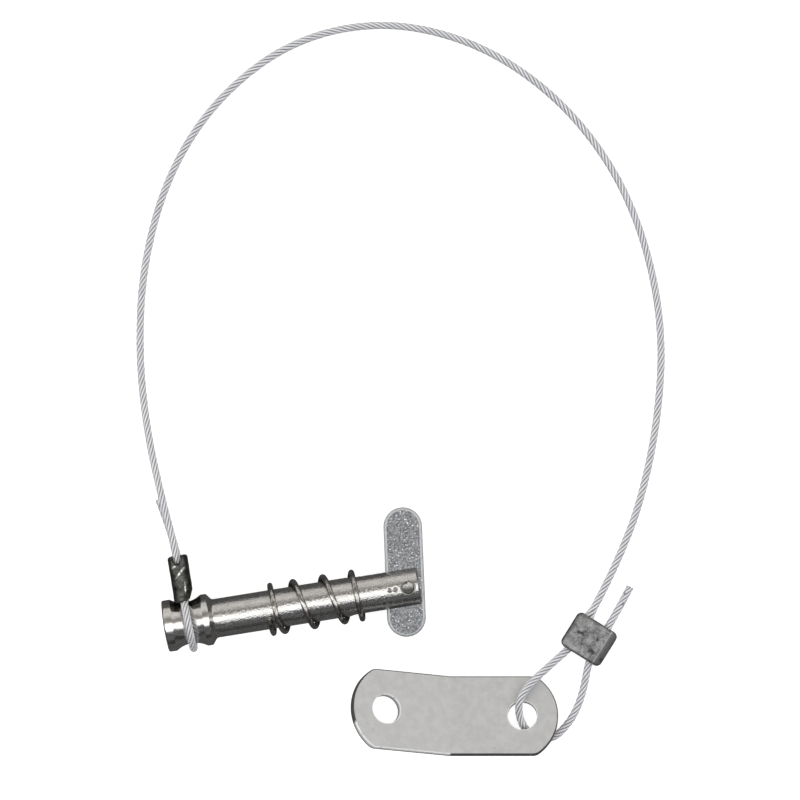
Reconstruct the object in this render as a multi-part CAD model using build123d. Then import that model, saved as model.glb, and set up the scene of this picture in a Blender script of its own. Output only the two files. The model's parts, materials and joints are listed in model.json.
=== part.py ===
from build123d import *
from math import atan2, cos, degrees, pi, radians, sin, tan
import os

# Lock-on toggle pin for a trailer coupler latch, on a wire-rope lanyard with a screw-down tab.
# Millimetres. The pin lies on a table with its axis along +X, head end to nose; the table is Z = 0.

# --- where the pieces lie ---------------------------------------------------------------------------
HEAD_END_X = -38.3        # centre of the head's end face
HEAD_END_Y = 10.9
AXIS_HEIGHT = 6.2         # the eye round the neck lifts the pin's axis this far off the table

# --- pin ----------------------------------------------------------------------------------------------
PIN_LENGTH = 52.7
SHANK_RADIUS = 3.97       # nominal 5/16 in
FLANGE_RISE = 1.3         # head and collar, above the shank
HEAD_DOME = 0.3           # how far the end face bulges
FLANGE_LAND = 2.0         # end face to the edge of the waist
WAIST_LENGTH = 6.3
WAIST_RISE = 0.28         # lowest point of the waist, above the shank
COLLAR_LAND = 1.15
COLLAR_SLOPE = 0.95       # along the axis, from the collar's land down to the shank
EDGE_ROUND = 0.4
ROOT_FILLET = 0.8
NOSE_CHAMFER = 0.3

# --- toggle bar and its pivot -------------------------------------------------------------------------
TOGGLE_THICKNESS = 2.2
TOGGLE_WIDTH = 7.9
TOGGLE_LONG_ARM = 16.35   # pivot to the far tip
TOGGLE_SHORT_ARM = 10.05
TOGGLE_SIDE_OFFSET = 0.55  # the bar's middle line lies this far head-side of the pivot
TOGGLE_REST_ANGLE = 83.2  # long arm, from the pin's axis
TOGGLE_BEVEL = 0.35
PIVOT_RADIUS = 1.28
PIVOT_TO_NOSE = 2.35
PIVOT_RECESS = 0.45       # below the shank's surface, each end
PIVOT_CLEARANCE = 0.05    # radial, in the toggle
SLOT_SIDE_CLEARANCE = 0.2  # each side of the toggle
SLOT_TIP_CLEARANCE = 0.95  # past the short arm's tip, to where the slot's round bottom starts
COUNTERSINK = 0.35

# --- spring -------------------------------------------------------------------------------------------
WIRE_DIAMETER = 1.1
SPRING_SHANK_CLEARANCE = 0.38  # radial, coil's inside to shank
SPRING_START_X = 21.6     # wire centre at the head-end cut, from the head's end face
SPRING_START_PHASE = 110  # degrees about the pin's axis from +Y towards +Z
END_COIL_TURNS = 1.0
END_COIL_PITCH = 1.5
ACTIVE_TURNS = 2.65
ACTIVE_PITCH = 6.15
NOSE_COIL_TURNS = 0.85
COIL_JOINT_GAP = 2.0      # degrees left between one coil node and the next

# --- wire rope and its two sleeves ----------------------------------------------------------------------
ROPE_DIAMETER = 1.7       # nominal 1/16 in under a thin clear coat
LEG_SPACING = 4.4         # between the two rope bores of a sleeve
PIN_SLEEVE_X = 4.97       # from the head's end face
PIN_SLEEVE_GAP = 0.1      # inner mouth's plane to the waist
PIN_SLEEVE_SADDLE = 0.65  # radial, from the waist to the hollow that clears it across the mouth
PIN_SLEEVE_LENGTH = 9.5
PIN_SLEEVE_WIDTH = 3.95
PIN_SLEEVE_HEIGHT = 8.8
PIN_SLEEVE_TAPER = 1.05   # width lost on the nose side at the inner mouth
PIN_SLEEVE_TAPER_RUN = 2.3
TAB_SLEEVE_CENTRE = (46.78, -5.49)
TAB_SLEEVE_ANGLE = 48.97  # rope direction in the tab's sleeve, from +X
TAB_SLEEVE_LENGTH = 7.9
TAB_SLEEVE_WIDTH = 9.4
TAB_SLEEVE_SIDE = 0.15    # the block's middle lies this far outward of its two bores' middle
TAB_SLEEVE_THICKNESS = 4.26
SLEEVE_ROUND = 0.8
ROPE_ON_TABLE = ROPE_DIAMETER / 2 + 0.02
TAB_SLEEVE_BORE_Z = 2.15

# --- tab ------------------------------------------------------------------------------------------------
TAB_WIDTH = 16.5
TAB_THICKNESS = 1.6
TAB_ROPE_ARM = 22.1       # bend line to the end that hangs on the rope
TAB_SCREW_ARM = 21.4      # bend line to the end with the free hole
TAB_END_RADIUS = 9.8
TAB_CORNER_RADIUS = 2.2
TAB_HOLE_RADIUS = 3.0
TAB_END_TO_HOLE = 7.3
TAB_BEND = 21             # degrees
TAB_BEND_RADIUS = 2.0     # inside of the bend
TAB_TILT = 18             # degrees, one long edge raised off the table
TAB_HEADING = -9.15       # direction of the rope arm, degrees from +X
TAB_CENTRE = (16.31, -16.51)  # middle of the bend line, seen from above

# --- rope routes, corner points of straight runs -----------------------------------------------------------
LANYARD_ROUTE = [
    (-33.33, 18.4, 8.4), (-33.33, 25.5, 8.4), (-34.6, 37.4, 7.1), (-35.45, 50.9, 4.5), (-34.65, 66.9, 2.1),
    (-31.0, 84.5, ROPE_ON_TABLE), (-23.1, 101.9, ROPE_ON_TABLE), (-10.9, 115.65, ROPE_ON_TABLE),
    (5.9, 124.9, ROPE_ON_TABLE), (24.6, 126.15, ROPE_ON_TABLE), (42.35, 119.45, ROPE_ON_TABLE),
    (56.5, 107.15, ROPE_ON_TABLE), (66.5, 91.05, ROPE_ON_TABLE), (71.35, 73.35, ROPE_ON_TABLE),
    (71.9, 54.25, ROPE_ON_TABLE), (67.9, 36.05, ROPE_ON_TABLE), (61.6, 19.9, 1.1), (55.0, 8.9, 1.7),
    (48.14, -0.57, 2.15), (45.12, -4.04, 2.15),
]
PIN_EYE_ROUTE = [
    (-33.33, 18.4, 8.4), (-33.33, 15.75, 8.4), (-33.2, 13.95, 10.95), (-33.05, 10.09, 11.79),
    (-33.0, 6.62, 9.9), (-33.0, 5.25, 6.2), (-33.0, 6.62, 2.5), (-33.05, 10.09, 0.61), (-33.2, 13.95, 1.45),
    (-33.33, 15.75, 4.0), (-33.33, 20.3, 3.97), (-33.36, 24.9, 4.0), (-34.1, 30.5, 3.8),
    (-35.28, 36.55, 3.5),
]
TAB_EYE_ROUTE = [
    (45.12, -4.04, 2.15), (42.95, -6.53, 2.15), (40.0, -8.4, 2.3), (36.7, -10.5, 2.8), (33.4, -12.6, 3.6),
    (30.6, -15.6, 4.8), (30.2, -19.4, 2.8), (31.8, -23.2, 1.5), (36.0, -24.8, 1.6), (39.8, -22.2, 1.85),
    (42.4, -19.0, 2.0), (44.3, -15.2, 2.1), (46.26, -9.54, 2.15), (49.5, -5.72, 2.15), (53.15, -1.3, 2.15),
    (56.84, 3.56, 2.15),
]
ARC_SHARE = 0.45          # of the shorter run beside a corner that its arc takes up

# --- sizes that follow from those above ---------------------------------------------------------------------
FLANGE_RADIUS = SHANK_RADIUS + FLANGE_RISE
WAIST_RADIUS = SHANK_RADIUS + WAIST_RISE
WAIST_END_X = FLANGE_LAND + WAIST_LENGTH
COLLAR_X = WAIST_END_X + COLLAR_LAND + COLLAR_SLOPE
PIVOT_X = PIN_LENGTH - PIVOT_TO_NOSE
SLOT_WIDTH = TOGGLE_THICKNESS + 2 * SLOT_SIDE_CLEARANCE
SLOT_DEPTH = TOGGLE_SHORT_ARM + SLOT_TIP_CLEARANCE  # from the pivot towards the head
COIL_RADIUS = SHANK_RADIUS + SPRING_SHANK_CLEARANCE + WIRE_DIAMETER / 2


def at_pin(x=0.0):
    """The frame on the pin's axis, x from the head's end face, +X towards the nose."""
    return Location((HEAD_END_X + x, HEAD_END_Y, AXIS_HEIGHT))


def half_section():
    """Half the pin's lengthwise section, from the axis up: domed end, hollow waist, collar and shank."""
    waist_start = (FLANGE_LAND, FLANGE_RADIUS)
    waist_low = (FLANGE_LAND + WAIST_LENGTH / 2, WAIST_RADIUS)
    waist_end = (WAIST_END_X, FLANGE_RADIUS)
    dome_radius = (FLANGE_RADIUS**2 + HEAD_DOME**2) / (2 * HEAD_DOME)
    halfway = (dome_radius - (dome_radius**2 - FLANGE_RADIUS**2 / 4) ** 0.5, FLANGE_RADIUS / 2)
    end_face = ThreePointArc((0, 0), halfway, (HEAD_DOME, FLANGE_RADIUS))
    land = Line((HEAD_DOME, FLANGE_RADIUS), waist_start)
    waist = ThreePointArc(waist_start, waist_low, waist_end)
    shank = Polyline(
        waist_end, (WAIST_END_X + COLLAR_LAND, FLANGE_RADIUS), (COLLAR_X, SHANK_RADIUS),
        (PIN_LENGTH - NOSE_CHAMFER, SHANK_RADIUS), (PIN_LENGTH, SHANK_RADIUS - NOSE_CHAMFER),
        (PIN_LENGTH, 0), (0, 0))
    return make_face(Wire([*end_face.edges(), *land.edges(), *waist.edges(), *shank.edges()]))


def pin_body():
    """Head with a spool-shaped waist, shank, toggle slot and cross hole."""
    section = half_section()
    rims = section.vertices().filter_by(lambda v: v.Y > FLANGE_RADIUS - 0.01)
    section = fillet(rims, EDGE_ROUND)
    root = section.vertices().filter_by(lambda v: abs(v.X - COLLAR_X) < 0.01 and v.Y < SHANK_RADIUS + 0.01)
    section = fillet(root, ROOT_FILLET)
    body = revolve(section, Axis.X)

    slot_start = PIVOT_X - SLOT_DEPTH
    slot_run = PIN_LENGTH + 1 - slot_start
    slot = Pos(slot_start + slot_run / 2, 0, 0) * Box(slot_run, 4 * SHANK_RADIUS, SLOT_WIDTH)
    slot += Pos(slot_start, 0, 0) * Rot(90, 0, 0) * Cylinder(SLOT_WIDTH / 2, 4 * SHANK_RADIUS)
    hole = Pos(PIVOT_X, 0, 0) * Cylinder(PIVOT_RADIUS, 4 * SHANK_RADIUS)
    body = body - slot - hole
    for side in (1, -1):
        mouth = Cone(PIVOT_RADIUS, PIVOT_RADIUS + 2 * COUNTERSINK, 2 * COUNTERSINK)
        body -= Pos(PIVOT_X, 0, side * SHANK_RADIUS) * Rot(90 - 90 * side, 0, 0) * mouth
    return at_pin() * body


def toggle_bar():
    """Flat bar with full-round ends, hung off centre on the pivot so that one arm is heavier."""
    length = TOGGLE_LONG_ARM + TOGGLE_SHORT_ARM
    shape = Pos((TOGGLE_LONG_ARM - TOGGLE_SHORT_ARM) / 2, TOGGLE_SIDE_OFFSET)
    blank = extrude(shape * SlotOverall(length, TOGGLE_WIDTH), TOGGLE_THICKNESS / 2, both=True)
    faces = blank.faces().sort_by(Axis.Z)
    bar = chamfer(faces[0].edges() + faces[-1].edges(), TOGGLE_BEVEL)
    bar -= Cylinder(PIVOT_RADIUS + PIVOT_CLEARANCE, 2 * TOGGLE_THICKNESS)
    return at_pin(PIVOT_X) * Rot(0, 0, TOGGLE_REST_ANGLE) * bar


def toggle_pivot_pin():
    """Cross pin pressed into the shank's two ears, a little below the surface at both ends."""
    length = 2 * (SHANK_RADIUS - PIVOT_RECESS)
    pin = Cylinder(PIVOT_RADIUS, length)
    pin = chamfer(pin.edges().filter_by(GeomType.CIRCLE), 0.15)
    return at_pin(PIVOT_X) * pin


def coil(start_x, start_phase, turns, pitch):
    """One stretch of the right-handed spring, its wire swept along a helix about the pin's axis."""
    path = Helix(pitch, pitch * turns, COIL_RADIUS)
    wire = sweep(Plane(path @ 0, z_dir=path % 0) * Circle(WIRE_DIAMETER / 2), path=path, is_frenet=True)
    upright = Plane(origin=(HEAD_END_X + start_x, HEAD_END_Y, AXIS_HEIGHT), x_dir=(0, 1, 0), z_dir=(1, 0, 0))
    return upright.location * Rot(0, 0, start_phase) * wire


def spring_coils():
    """Closed coil at the head end, open coils, closed coil at the nose end, in that order."""
    stretches = [
        (END_COIL_TURNS, END_COIL_PITCH), (ACTIVE_TURNS, ACTIVE_PITCH), (NOSE_COIL_TURNS, END_COIL_PITCH),
    ]
    gap = COIL_JOINT_GAP / 360
    x, phase, coils = SPRING_START_X, SPRING_START_PHASE, []
    for turns, pitch in stretches:
        coils.append(coil(x, phase, turns - gap, pitch))
        x += turns * pitch
        phase += turns * 360
    return coils


def rope(route, name):
    """A plain round tube along straight runs joined by arcs as large as the runs allow."""
    points = [Vector(*p) for p in route]
    radii = []
    for before, corner, after in zip(points, points[1:], points[2:]):
        into, out = corner - before, after - corner
        half_turn = radians(into.get_angle(out)) / 2
        radii.append(ARC_SHARE * min(into.length, out.length) / tan(half_turn))
    path = FilletPolyline(*points, radius=radii)
    tube = sweep(Plane(path @ 0, z_dir=path % 0) * Circle(ROPE_DIAMETER / 2), path=path)
    ideal = pi * (ROPE_DIAMETER / 2) ** 2 * path.length
    print(name, "length", round(path.length, 1), "volume ratio", round(tube.volume / ideal, 4))
    print("  radii", [round(r, 1) for r in radii])
    return tube


def rope_bores(length):
    """The two rope bores of a sleeve, along X, side by side in Y."""
    bore = Rot(0, 90, 0) * Cylinder(ROPE_DIAMETER / 2, 2 * length)
    return Pos(0, LEG_SPACING / 2, 0) * bore + Pos(0, -LEG_SPACING / 2, 0) * bore


def pin_ferrule():
    """Oval sleeve crimped on both rope legs beside the neck, its mouth hollowed to swing round the waist."""
    oval = Plane.YZ * SlotOverall(PIN_SLEEVE_HEIGHT, PIN_SLEEVE_WIDTH)
    blank = extrude(oval, PIN_SLEEVE_LENGTH / 2, both=True)
    ends = blank.faces().sort_by(Axis.X)
    blank = fillet(ends[0].edges() + ends[-1].edges(), SLEEVE_ROUND / 2)
    inner, side = -PIN_SLEEVE_LENGTH / 2, PIN_SLEEVE_WIDTH / 2
    wedge = make_face(Polyline(
        (inner, side - PIN_SLEEVE_TAPER), (inner + PIN_SLEEVE_TAPER_RUN, side), (inner, side), close=True))
    taper = extrude(Plane.XZ * wedge, PIN_SLEEVE_HEIGHT, both=True)
    sleeve = blank - taper - rope_bores(PIN_SLEEVE_LENGTH)
    upright = Plane(origin=(0, 0, 0), x_dir=(0, 1, 0), z_dir=(1, 0, 0)).location
    middle_y = HEAD_END_Y + WAIST_RADIUS + PIN_SLEEVE_GAP + PIN_SLEEVE_LENGTH / 2
    placed = Location((HEAD_END_X + PIN_SLEEVE_X, middle_y, AXIS_HEIGHT)) * upright * sleeve
    saddle = Rot(0, 90, 0) * Cylinder(WAIST_RADIUS + PIN_SLEEVE_SADDLE, 4 * PIN_SLEEVE_WIDTH)
    return placed - at_pin(PIN_SLEEVE_X) * saddle


def tab_ferrule():
    """Block sleeve crimped flat on both rope legs beside the tab, lying on the table."""
    block = Pos(0, -TAB_SLEEVE_SIDE) * Box(TAB_SLEEVE_LENGTH, TAB_SLEEVE_WIDTH, TAB_SLEEVE_THICKNESS)
    block = fillet(block.edges(), SLEEVE_ROUND) - rope_bores(TAB_SLEEVE_LENGTH)
    return Location((*TAB_SLEEVE_CENTRE, TAB_SLEEVE_BORE_Z)) * Rot(0, 0, TAB_SLEEVE_ANGLE) * block


def tab_arm(length):
    """The outline prism of one arm along +X from the bend, with a crowned end and blended corners."""
    half = TAB_WIDTH / 2
    crown_x = length - TAB_END_RADIUS + (TAB_END_RADIUS**2 - half**2) ** 0.5
    back = -3 * TAB_THICKNESS
    edges = [
        Line((back, -half), (crown_x, -half)), ThreePointArc((crown_x, -half), (length, 0), (crown_x, half)),
        Line((crown_x, half), (back, half)), Line((back, half), (back, -half)),
    ]
    outline = make_face(Wire(edges))
    ends = outline.vertices().filter_by(lambda v: v.X > 0)
    outline = fillet(ends, TAB_CORNER_RADIUS) - Pos(length - TAB_END_TO_HOLE, 0) * Circle(TAB_HOLE_RADIUS)
    return extrude(outline, 3 * TAB_THICKNESS, both=True)


def mounting_tab():
    """Flat strip bent once, a hole at each end, lying tilted in the rope's eye."""
    half = TAB_THICKNESS / 2
    bend = radians(TAB_BEND)
    mitre = half * tan(bend / 2)
    reach = TAB_SCREW_ARM + 1

    def screw_arm_point(along, up):
        return (-along * cos(bend) + up * sin(bend), along * sin(bend) + up * cos(bend))

    section = make_face(Polyline(
        (TAB_ROPE_ARM + 1, half), (mitre, half), screw_arm_point(reach, half), screw_arm_point(reach, -half),
        (-mitre, -half), (TAB_ROPE_ARM + 1, -half), close=True))
    inside = section.vertices().filter_by(lambda v: abs(v.X - mitre) < 0.01 and v.Y > 0)
    section = fillet(inside, TAB_BEND_RADIUS)
    outside = section.vertices().filter_by(lambda v: abs(v.X + mitre) < 0.01 and v.Y < 0)
    section = fillet(outside, TAB_BEND_RADIUS + TAB_THICKNESS)
    strip = extrude(Plane.XZ * section, TAB_WIDTH, both=True)
    rope_arm = tab_arm(TAB_ROPE_ARM)
    screw_arm = Rot(0, TAB_BEND, 0) * Rot(0, 0, 180) * tab_arm(TAB_SCREW_ARM)
    tab = strip & (rope_arm + screw_arm)
    tilt = radians(TAB_TILT)
    height = TAB_WIDTH / 2 * sin(tilt) + half * cos(tilt)  # its low edge rests on the table
    return Location((*TAB_CENTRE, height)) * Rot(0, 0, TAB_HEADING) * Rot(-TAB_TILT, 0, 0) * tab


def build():
    """Every piece by its node's name."""
    head_coil, open_coils, nose_coil = spring_coils()
    return {
        "pin_body": pin_body(),
        "toggle_bar": toggle_bar(),
        "toggle_pivot_pin": toggle_pivot_pin(),
        "spring_head_end_coil": head_coil,
        "spring_coils": open_coils,
        "spring_nose_end_coil": nose_coil,
        "lanyard_run": rope(LANYARD_ROUTE, "lanyard_run"),
        "pin_eye": rope(PIN_EYE_ROUTE, "pin_eye"),
        "tab_eye": rope(TAB_EYE_ROUTE, "tab_eye"),
        "pin_ferrule": pin_ferrule(),
        "tab_ferrule": tab_ferrule(),
        "mounting_tab": mounting_tab(),
    }


os.makedirs("parts", exist_ok=True)
for node, piece in build().items():
    export_step(piece, f"parts/{node}.step")
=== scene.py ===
"""Toggle pin on a wire-rope lanyard, laid on a pale table and seen from straight above.

Metres throughout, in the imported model's own frame: +X along the pin from head to nose, +Z up from the table.
"""
import json
import math

import bmesh
import bpy
import numpy as np
from mathutils import Matrix, Vector

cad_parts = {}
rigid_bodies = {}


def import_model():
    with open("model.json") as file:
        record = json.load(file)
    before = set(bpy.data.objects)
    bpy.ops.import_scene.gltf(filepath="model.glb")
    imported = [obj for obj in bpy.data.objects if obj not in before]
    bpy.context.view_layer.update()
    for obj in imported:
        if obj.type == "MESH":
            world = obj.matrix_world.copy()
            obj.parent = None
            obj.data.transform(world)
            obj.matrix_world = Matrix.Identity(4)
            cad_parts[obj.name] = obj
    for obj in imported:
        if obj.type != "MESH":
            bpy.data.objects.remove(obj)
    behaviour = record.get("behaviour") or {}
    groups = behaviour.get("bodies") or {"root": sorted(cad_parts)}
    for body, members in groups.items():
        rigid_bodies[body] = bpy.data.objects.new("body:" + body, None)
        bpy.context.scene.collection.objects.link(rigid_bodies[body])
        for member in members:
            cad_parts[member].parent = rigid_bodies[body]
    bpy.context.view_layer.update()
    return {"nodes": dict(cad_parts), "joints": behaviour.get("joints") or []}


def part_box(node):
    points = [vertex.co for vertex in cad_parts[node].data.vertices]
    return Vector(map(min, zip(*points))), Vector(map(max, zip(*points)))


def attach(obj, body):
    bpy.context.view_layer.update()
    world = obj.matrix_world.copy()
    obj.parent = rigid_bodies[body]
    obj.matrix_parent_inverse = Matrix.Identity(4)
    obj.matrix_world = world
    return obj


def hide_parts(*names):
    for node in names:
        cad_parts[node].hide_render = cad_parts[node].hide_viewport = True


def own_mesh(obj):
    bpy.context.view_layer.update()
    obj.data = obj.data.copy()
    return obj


for leftover in list(bpy.data.objects):
    bpy.data.objects.remove(leftover)
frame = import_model()

MM = 0.001
TURN = 2 * math.pi

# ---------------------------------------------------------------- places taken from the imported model
pin_low, pin_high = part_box("pin_body")
HEAD_END = pin_low.x
PIN_Y = (pin_low.y + pin_high.y) / 2
AXIS_Z = (pin_low.z + pin_high.z) / 2
pivot_low, pivot_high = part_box("toggle_pivot_pin")
PIVOT = (pivot_low + pivot_high) / 2
sleeve_low, sleeve_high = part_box("pin_ferrule")
crimp_low, crimp_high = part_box("tab_ferrule")
tab_joint = next(joint for joint in frame["joints"] if joint["name"] == "tab_swing")
ROPE_HOLE = np.array(tab_joint["pos_m"])     # middle of the tab's hole that the rope's eye goes through
TAB_NORMAL = np.array(tab_joint["axis"])

# ---------------------------------------------------------------- sizes, in metres unless named otherwise
ROPE_DIAMETER = 1.7 * MM
ROPE_ON_TABLE = 0.87      # millimetres, as in the routes below
ROPE_LAY = 8 * MM
STRAND_RING = 0.54 * MM
WIRE_RING = 0.178 * MM
WIRE_RADIUS = 0.09 * MM
STRAND_LAY = 3.4 * MM
ROPE_STEP = 0.26 * MM
TAIL_SPECKS = ((55.46 * MM, 2.58 * MM, 2.9 * MM), (54.91 * MM, 0.4 * MM, 2.9 * MM))

SPRING_WIRE_RADIUS = 0.55 * MM
SPRING_COIL_RADIUS = 4.9 * MM
SPRING_START = 21.6 * MM  # from the head's end face
SPRING_START_PHASE = math.radians(110)
CLOSED_PITCH = 1.5 * MM
OPEN_PITCH = 6.15 * MM
HEAD_CLOSED_TURNS = 1.0
OPEN_TURNS = 2.65
NOSE_CLOSED_TURNS = 0.85

TOGGLE_LONG_ARM = 16.35 * MM
TOGGLE_SHORT_ARM = 10.05 * MM
TOGGLE_WIDTH = 7.9 * MM
TOGGLE_THICKNESS = 2.2 * MM
TOGGLE_OFFSET = 0.55 * MM
TOGGLE_ANGLE = math.radians(83.2)
TOGGLE_HOLE = 1.33 * MM
TOGGLE_ROUND = 0.6 * MM
TOGGLE_RIM_ROUND = 0.1 * MM

SLEEVE_TAPER = 1.05 * MM
SLEEVE_TAPER_RUN = 2.3 * MM
SLEEVE_SADDLE = 4.9 * MM  # radius about the pin's axis of the hollow across the mouth
LEG_SPACING = 4.4 * MM    # between the two rope legs in a sleeve
CRIMP_LENGTH = 7.9 * MM
CRIMP_WIDTH = 9.4 * MM
CRIMP_SIDE = 0.15 * MM    # the block's middle lies this far outward of its two legs' middle
CRIMP_ANGLE = math.radians(48.97)

TAB_WIDTH = 16.5 * MM
TAB_THICKNESS = 1.6 * MM
TAB_ROPE_ARM = 22.1 * MM
TAB_SCREW_ARM = 21.4 * MM
TAB_CROWN_RADIUS = 9.8 * MM
TAB_CORNER_RADIUS = 2.2 * MM
TAB_HOLE_RADIUS = 3.0 * MM
TAB_END_TO_HOLE = 7.3 * MM
TAB_BEND = math.radians(21)
TAB_BEND_RADIUS = 2.8 * MM  # at the middle of the thickness
TAB_EDGE_ROUND = 0.22 * MM
TAB_RIM_ROUND = 0.16 * MM
TAB_ACROSS = 24           # mesh steps across the tab at the bend

# the same corner points as the solid rope's routes, in millimetres
LANYARD_ROUTE = [
    (-33.33, 18.4, 8.4), (-33.33, 25.5, 8.4), (-34.6, 37.4, 7.1), (-35.45, 50.9, 4.5), (-34.65, 66.9, 2.1),
    (-31.0, 84.5, ROPE_ON_TABLE), (-23.1, 101.9, ROPE_ON_TABLE), (-10.9, 115.65, ROPE_ON_TABLE),
    (5.9, 124.9, ROPE_ON_TABLE), (24.6, 126.15, ROPE_ON_TABLE), (42.35, 119.45, ROPE_ON_TABLE),
    (56.5, 107.15, ROPE_ON_TABLE), (66.5, 91.05, ROPE_ON_TABLE), (71.35, 73.35, ROPE_ON_TABLE),
    (71.9, 54.25, ROPE_ON_TABLE), (67.9, 36.05, ROPE_ON_TABLE), (61.6, 19.9, 1.1), (55.0, 8.9, 1.7),
    (48.14, -0.57, 2.15), (45.12, -4.04, 2.15),
]
PIN_EYE_ROUTE = [
    (-33.33, 18.4, 8.4), (-33.33, 15.75, 8.4), (-33.2, 13.95, 10.95), (-33.05, 10.09, 11.79),
    (-33.0, 6.62, 9.9), (-33.0, 5.25, 6.2), (-33.0, 6.62, 2.5), (-33.05, 10.09, 0.61), (-33.2, 13.95, 1.45),
    (-33.33, 15.75, 4.0), (-33.33, 20.3, 3.97), (-33.36, 24.9, 4.0), (-34.1, 30.5, 3.8),
    (-35.28, 36.55, 3.5),
]
TAB_EYE_ROUTE = [
    (45.12, -4.04, 2.15), (42.95, -6.53, 2.15), (40.0, -8.4, 2.3), (36.7, -10.5, 2.8), (33.4, -12.6, 3.6),
    (30.6, -15.6, 4.8), (30.2, -19.4, 2.8), (31.8, -23.2, 1.5), (36.0, -24.8, 1.6), (39.8, -22.2, 1.85),
    (42.4, -19.0, 2.0), (44.3, -15.2, 2.1), (46.26, -9.54, 2.15), (49.5, -5.72, 2.15), (53.15, -1.3, 2.15),
    (56.84, 3.56, 2.15),
]


# ---------------------------------------------------------------- mesh tools
def piece_from(name, points, quads, material, edge_material=None, edge_quads=None, painted_light=None):
    """A smooth mesh object from an array of points and quads of corner numbers, its doubles merged. Where
    edge_quads is true, a quad has the edge material. painted_light is a number for each point, kept as an
    attribute: how much a point is painted as lit, from 0 painted in shade to 1."""
    mesh = bpy.data.meshes.new(name)
    mesh.from_pydata(np.asarray(points, float).reshape(-1, 3).tolist(), [], np.asarray(quads).tolist())
    mesh.materials.append(material)
    if edge_material is not None:
        mesh.materials.append(edge_material)
        mesh.polygons.foreach_set("material_index", np.asarray(edge_quads).astype(np.int32))
    if painted_light is not None:
        mesh.attributes.new("painted_light", "FLOAT", "POINT").data.foreach_set("value", np.ravel(painted_light))
    work = bmesh.new()
    work.from_mesh(mesh)
    bmesh.ops.remove_doubles(work, verts=work.verts, dist=2e-7)
    bmesh.ops.dissolve_degenerate(work, edges=work.edges, dist=1e-8)
    bmesh.ops.recalc_face_normals(work, faces=work.faces)
    work.to_mesh(mesh)
    work.free()
    mesh.polygons.foreach_set("use_smooth", [True] * len(mesh.polygons))
    piece = bpy.data.objects.new(name, mesh)
    bpy.context.scene.collection.objects.link(piece)
    return piece


def grid_quads(rows, columns, wrap_rows=False, wrap_columns=True, first=0):
    """Corner numbers of the quads between neighbouring rows and columns of a grid of points."""
    r = np.arange(rows if wrap_rows else rows - 1)
    c = np.arange(columns if wrap_columns else columns - 1)
    r, c = (a.ravel() for a in np.meshgrid(r, c, indexing="ij"))
    r2, c2 = (r + 1) % rows, (c + 1) % columns
    return np.stack([r * columns + c, r * columns + c2, r2 * columns + c2, r2 * columns + c], 1) + first


def unit(vectors):
    """Vectors along the last axis, scaled to length one."""
    return vectors / np.linalg.norm(vectors, axis=-1, keepdims=True)


def smooth_step(value, low, high):
    """0 below low, 1 above high, and three t squared less two t cubed between them."""
    t = np.clip((value - low) / (high - low), 0, 1)
    return t * t * (3 - 2 * t)


def weigh_normals(piece, degrees):
    """Marks edges sharper than the angle, then lets large faces set the normals of the small ones."""
    piece.data.set_sharp_from_angle(angle=math.radians(degrees))
    weighted = piece.modifiers.new("face_weighted_normals", "WEIGHTED_NORMAL")
    weighted.keep_sharp = True


def rounded_rectangle(half_x, half_y, corner, inset, arc_steps=14, side_steps=8):
    """Points of a rectangle with round corners, every side drawn in by inset: corner k's arc centre plus
    (corner - inset) times the cosine and sine of its angle, with straight steps from arc to arc."""
    rows = []
    for k, (sx, sy) in enumerate(((1, 1), (-1, 1), (-1, -1), (1, -1))):
        angle = np.linspace(k * TURN / 4, (k + 1) * TURN / 4, arc_steps)
        centre = np.array([sx * (half_x - corner), sy * (half_y - corner)])
        rows.append(centre + (corner - inset) * np.stack([np.cos(angle), np.sin(angle)], 1))
    outline = []
    for k in range(4):
        start, end = rows[k][-1], rows[(k + 1) % 4][0]
        share = np.linspace(0, 1, side_steps + 1)[1:-1, None]
        outline += [rows[k], start + share * (end - start)]
    return np.concatenate(outline)


# ---------------------------------------------------------------- ropes
def smooth_line(name, route, spacing):
    """Evenly spaced points along the NURBS line that has the route's corners as control points."""
    curve = bpy.data.curves.new(name, "CURVE")
    curve.dimensions = "3D"
    spline = curve.splines.new("NURBS")
    spline.points.add(len(route) - 1)
    for point, corner in zip(spline.points, route):
        point.co = (*(v * MM for v in corner), 1)
    spline.order_u = 3
    spline.use_endpoint_u = True
    spline.resolution_u = 32
    holder = bpy.data.objects.new(name, curve)
    mesh = bpy.data.meshes.new_from_object(holder)
    points = np.zeros(len(mesh.vertices) * 3)
    mesh.vertices.foreach_get("co", points)
    points = points.reshape(-1, 3)
    bpy.data.objects.remove(holder)
    bpy.data.curves.remove(curve)
    bpy.data.meshes.remove(mesh)
    run = np.r_[0, np.cumsum(np.linalg.norm(np.diff(points, axis=0), axis=1))]
    even = np.linspace(0, run[-1], int(run[-1] / spacing) + 1)
    return np.stack([np.interp(even, run, points[:, k]) for k in range(3)], 1)


def square_frame(line, reference):
    """The line's direction and two unit vectors square to it; the line never runs along the reference."""
    along = unit(np.gradient(line, axis=0))
    side = unit(np.cross(along, reference))
    return along, side, np.cross(side, along)


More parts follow.
